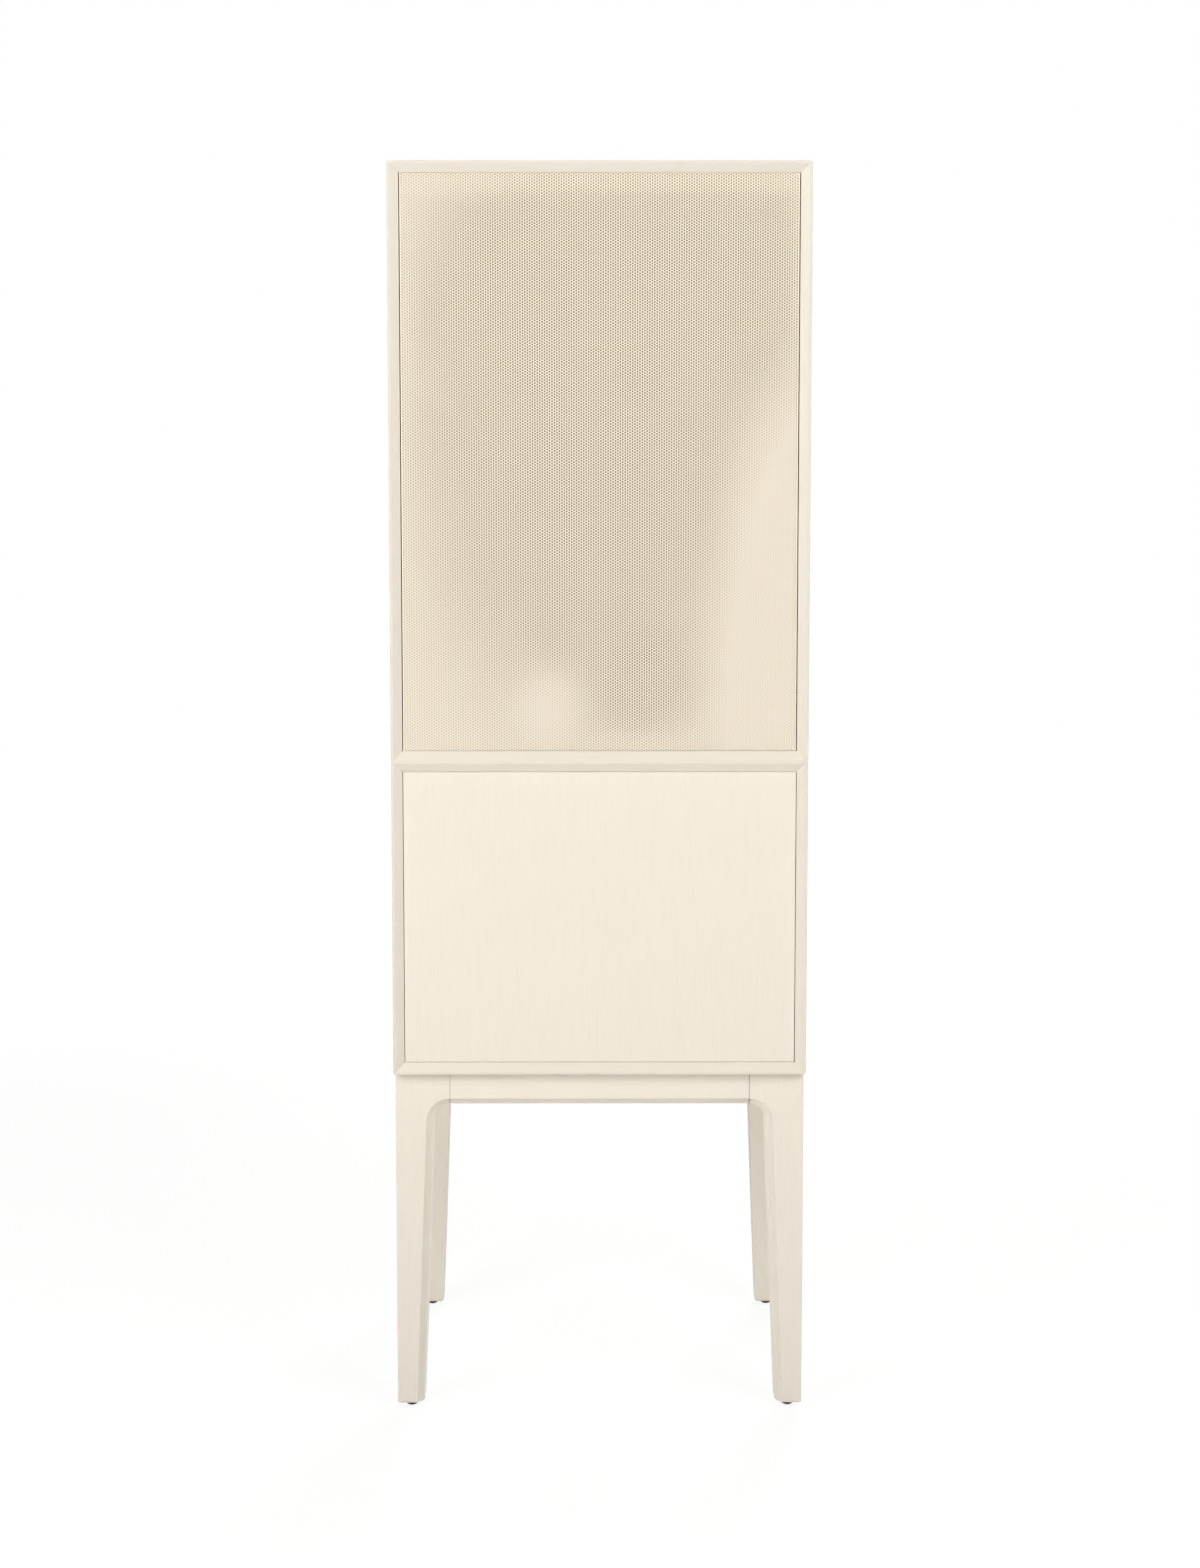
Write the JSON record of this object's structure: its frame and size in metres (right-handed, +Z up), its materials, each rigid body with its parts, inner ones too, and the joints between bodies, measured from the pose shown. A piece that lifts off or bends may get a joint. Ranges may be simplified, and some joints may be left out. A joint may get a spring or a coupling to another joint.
{
  "type": "storage cabinet",
  "caption": "Tall cream cabinet on tapered legs, with a perforated steel door over a plain wooden door and bevelled, mitred front edges.",
  "frame": {"origin": "on the floor, under the middle of the case", "axes": "+Z up, -Y out of the front with the doors, +X to the right when seen from the front"},
  "size_m": [0.6, 0.45, 1.815],
  "materials": {
    "lacquered_wood": "matte cream lacquer over fine vertical grain",
    "lining_cloth": "plain woven lining cloth in warm cream",
    "painted_steel": "matte cream powder coat",
    "zinc_steel": "zinc plated",
    "black_plastic": "moulded black",
    "grey_plastic": "moulded light grey",
    "bare_beech": "planed beech, no finish"
  },
  "bodies": {
    "cabinet": {"side_panel_left": "lacquered_wood", "side_panel_right": "lacquered_wood", "top_panel": "lacquered_wood", "bottom_panel": "lacquered_wood", "mid_divider": "lacquered_wood", "back_panel": "lacquered_wood", "divider_dowels": "bare_beech", "shelf_upper_low": "lacquered_wood", "shelf_upper_low_pins": "zinc_steel", "shelf_upper_high": "lacquered_wood", "shelf_upper_high_pins": "zinc_steel", "shelf_lower": "lacquered_wood", "shelf_lower_pins": "zinc_steel", "upper_door_bush_top": "grey_plastic", "upper_door_bush_bottom": "grey_plastic", "lower_door_bush_top": "grey_plastic", "lower_door_bush_bottom": "grey_plastic", "latch_body_upper": "grey_plastic", "latch_body_lower": "grey_plastic", "leg_front_left": "lacquered_wood", "glide_front_left": "black_plastic", "leg_front_right": "lacquered_wood", "glide_front_right": "black_plastic", "leg_rear_right": "lacquered_wood", "glide_rear_right": "black_plastic", "leg_rear_left": "lacquered_wood", "glide_rear_left": "black_plastic", "apron_front": "lacquered_wood", "cleat_front": "bare_beech", "apron_right": "lacquered_wood", "cleat_right": "bare_beech", "apron_rear": "lacquered_wood", "cleat_rear": "bare_beech", "apron_left": "lacquered_wood", "cleat_left": "bare_beech", "case_screws": "zinc_steel", "apron_dowels": "bare_beech"},
    "upper_door": {"upper_door_sheet": "painted_steel", "upper_door_lining": "lining_cloth", "upper_door_channel_top": "painted_steel", "upper_door_channel_bottom": "painted_steel", "upper_door_pivot_block_top": "zinc_steel", "upper_door_pivot_block_bottom": "zinc_steel", "upper_door_pivot_top": "zinc_steel", "upper_door_pivot_bottom": "zinc_steel", "upper_door_strike": "zinc_steel"},
    "lower_door": {"lower_door_panel": "lacquered_wood", "lower_door_pivot_top": "zinc_steel", "lower_door_pivot_bottom": "zinc_steel", "lower_door_strike": "zinc_steel"},
    "upper_latch_plunger": {"latch_plunger_upper": "grey_plastic"},
    "lower_latch_plunger": {"latch_plunger_lower": "grey_plastic"}
  },
  "joints": [
    {"name": "upper_door_hinge", "type": "hinge", "parent": "cabinet", "child": "upper_door", "pos_m": [-0.268, -0.2115, 1.389], "axis": [0, 0, -1], "range_deg": [0, 110]},
    {"name": "lower_door_hinge", "type": "hinge", "parent": "cabinet", "child": "lower_door", "pos_m": [-0.268, -0.213, 0.736], "axis": [0, 0, -1], "range_deg": [0, 110]},
    {"name": "upper_latch_push", "type": "slide", "parent": "cabinet", "child": "upper_latch_plunger", "axis": [0, 1, 0], "range_m": [0, 0.003], "stiffness_N_per_m": 400, "springref_m": -0.003},
    {"name": "lower_latch_push", "type": "slide", "parent": "cabinet", "child": "lower_latch_plunger", "axis": [0, 1, 0], "range_m": [0, 0.003], "stiffness_N_per_m": 400, "springref_m": -0.003}
  ]
}
